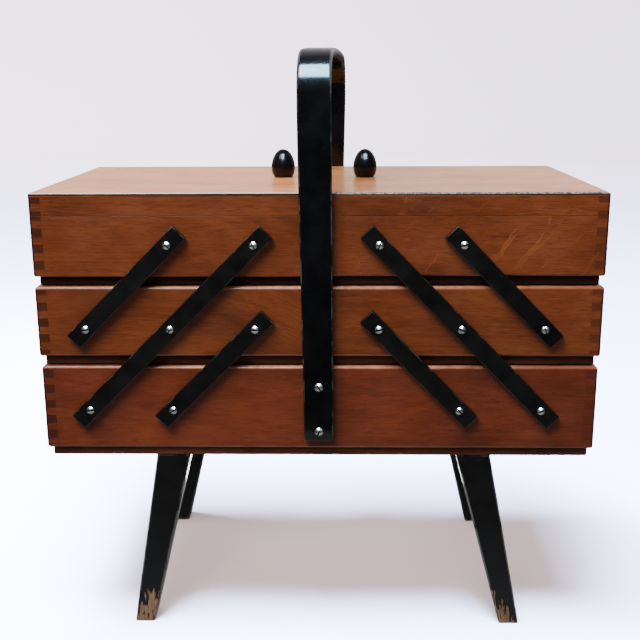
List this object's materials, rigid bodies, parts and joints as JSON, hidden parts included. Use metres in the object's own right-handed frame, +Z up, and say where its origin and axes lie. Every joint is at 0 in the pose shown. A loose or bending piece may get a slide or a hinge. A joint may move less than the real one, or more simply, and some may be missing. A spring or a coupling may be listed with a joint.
{
  "type": "sewing basket",
  "caption": "Wooden cantilever sewing box on splayed legs, with tiered trays that spread on black linkage arms, hinged lids and a bentwood carrying handle.",
  "frame": {"origin": "on the floor, at the bottom centre of the whole closed box", "axes": "+X to the right along the length of the box, +Y to the back, +Z up"},
  "size_m": [0.4446, 0.2436, 0.472],
  "materials": {
    "tray_wood": "stained, satin varnish, horizontal grain, darker end grain on the corner fingers",
    "base_wood": "stained, satin varnish, redder and darker than the trays",
    "lid_top": "stained veneer, satin varnish, pale worn edges",
    "bottom_panel": "plywood, dark stain, matt",
    "arm_lacquer": "black lacquer, satin, brown wood worn through at the edges",
    "handle_lacquer": "black lacquer, high gloss",
    "leg_lacquer": "black lacquer, satin, worn to bare wood at the feet",
    "knob_lacquer": "black lacquer, high gloss",
    "steel_screws": "nickel-plated, slightly tarnished",
    "brass": "dull, slightly tarnished"
  },
  "bodies": {
    "base": {"base_wall_front": "base_wood", "base_wall_back": "base_wood", "base_wall_left": "base_wood", "base_wall_right": "base_wood", "base_panel": "bottom_panel", "leg_front_left": "leg_lacquer", "leg_front_right": "leg_lacquer", "leg_back_left": "leg_lacquer", "leg_back_right": "leg_lacquer", "leg_braces": "leg_lacquer", "leg_screws": "steel_screws", "handle": "handle_lacquer", "handle_screws": "steel_screws", "base_pivot_screws": "steel_screws"},
    "left_long_arms": {"left_long_arm_front": "arm_lacquer", "left_long_arm_back": "arm_lacquer"},
    "left_mid_tray": {"left_mid_wall_front": "tray_wood", "left_mid_wall_back": "tray_wood", "left_mid_end_walls": "tray_wood", "left_mid_panel": "bottom_panel", "left_mid_pivot_screws": "steel_screws"},
    "left_top_tray": {"left_top_wall_front": "tray_wood", "left_top_wall_back": "tray_wood", "left_top_end_walls": "tray_wood", "left_top_panel": "bottom_panel", "left_top_screws": "steel_screws", "left_hinge_tray_leaves": "brass", "left_hinge_pins": "brass"},
    "left_lid": {"left_lid_rails": "tray_wood", "left_lid_panel": "lid_top", "left_lid_knob": "knob_lacquer", "left_lid_hinge_screws": "brass", "left_hinge_lid_leaves": "brass"},
    "left_lower_arms": {"left_lower_arm_front": "arm_lacquer", "left_lower_arm_back": "arm_lacquer"},
    "left_upper_arms": {"left_upper_arm_front": "arm_lacquer", "left_upper_arm_back": "arm_lacquer"},
    "right_long_arms": {"right_long_arm_front": "arm_lacquer", "right_long_arm_back": "arm_lacquer"},
    "right_mid_tray": {"right_mid_wall_front": "tray_wood", "right_mid_wall_back": "tray_wood", "right_mid_end_walls": "tray_wood", "right_mid_panel": "bottom_panel", "right_mid_pivot_screws": "steel_screws"},
    "right_top_tray": {"right_top_wall_front": "tray_wood", "right_top_wall_back": "tray_wood", "right_top_end_walls": "tray_wood", "right_top_panel": "bottom_panel", "right_top_screws": "steel_screws", "right_hinge_tray_leaves": "brass", "right_hinge_pins": "brass"},
    "right_lid": {"right_lid_rails": "tray_wood", "right_lid_panel": "lid_top", "right_lid_knob": "knob_lacquer", "right_lid_hinge_screws": "brass", "right_hinge_lid_leaves": "brass"},
    "right_lower_arms": {"right_lower_arm_front": "arm_lacquer", "right_lower_arm_back": "arm_lacquer"},
    "right_upper_arms": {"right_upper_arm_front": "arm_lacquer", "right_upper_arm_back": "arm_lacquer"}
  },
  "joints": [
    {"name": "left_open", "type": "hinge", "parent": "base", "child": "left_long_arms", "pos_m": [-0.181, 0, 0.193], "axis": [0, -1, 0], "range_deg": [0, 90]},
    {"name": "left_mid_level", "type": "hinge", "parent": "left_long_arms", "child": "left_mid_tray", "pos_m": [-0.115, 0, 0.259], "axis": [0, -1, 0], "range_deg": [-90, 0]},
    {"name": "left_top_level", "type": "hinge", "parent": "left_long_arms", "child": "left_top_tray", "pos_m": [-0.049, 0, 0.325], "axis": [0, -1, 0], "range_deg": [-90, 0]},
    {"name": "left_lower_turn", "type": "hinge", "parent": "base", "child": "left_lower_arms", "pos_m": [-0.115, 0, 0.193], "axis": [0, -1, 0], "range_deg": [0, 90]},
    {"name": "left_upper_turn", "type": "hinge", "parent": "left_mid_tray", "child": "left_upper_arms", "pos_m": [-0.181, 0, 0.259], "axis": [0, -1, 0], "range_deg": [0, 90]},
    {"name": "left_lid_open", "type": "hinge", "parent": "left_top_tray", "child": "left_lid", "pos_m": [-0.22015, 0, 0.34675], "axis": [0, -1, 0], "range_deg": [0, 180]},
    {"name": "right_open", "type": "hinge", "parent": "base", "child": "right_long_arms", "pos_m": [0.175, 0, 0.193], "axis": [0, 1, 0], "range_deg": [0, 88.24]},
    {"name": "right_mid_level", "type": "hinge", "parent": "right_long_arms", "child": "right_mid_tray", "pos_m": [0.111, 0, 0.259], "axis": [0, 1, 0], "range_deg": [-88.24, 0]},
    {"name": "right_top_level", "type": "hinge", "parent": "right_long_arms", "child": "right_top_tray", "pos_m": [0.047, 0, 0.325], "axis": [0, 1, 0], "range_deg": [-88.24, 0]},
    {"name": "right_lower_turn", "type": "hinge", "parent": "base", "child": "right_lower_arms", "pos_m": [0.111, 0, 0.193], "axis": [0, 1, 0], "range_deg": [0, 88.24]},
    {"name": "right_upper_turn", "type": "hinge", "parent": "right_mid_tray", "child": "right_upper_arms", "pos_m": [0.175, 0, 0.259], "axis": [0, 1, 0], "range_deg": [0, 88.24]},
    {"name": "right_lid_open", "type": "hinge", "parent": "right_top_tray", "child": "right_lid", "pos_m": [0.22015, 0, 0.34675], "axis": [0, 1, 0], "range_deg": [0, 180]}
  ],
  "couplings": [
    {"joint": "left_mid_level", "follows": "left_open", "ratio": -1},
    {"joint": "left_top_level", "follows": "left_open", "ratio": -1},
    {"joint": "left_lower_turn", "follows": "left_open", "ratio": 1},
    {"joint": "left_upper_turn", "follows": "left_open", "ratio": 1},
    {"joint": "right_mid_level", "follows": "right_open", "ratio": -1},
    {"joint": "right_top_level", "follows": "right_open", "ratio": -1},
    {"joint": "right_lower_turn", "follows": "right_open", "ratio": 1},
    {"joint": "right_upper_turn", "follows": "right_open", "ratio": 1}
  ]
}
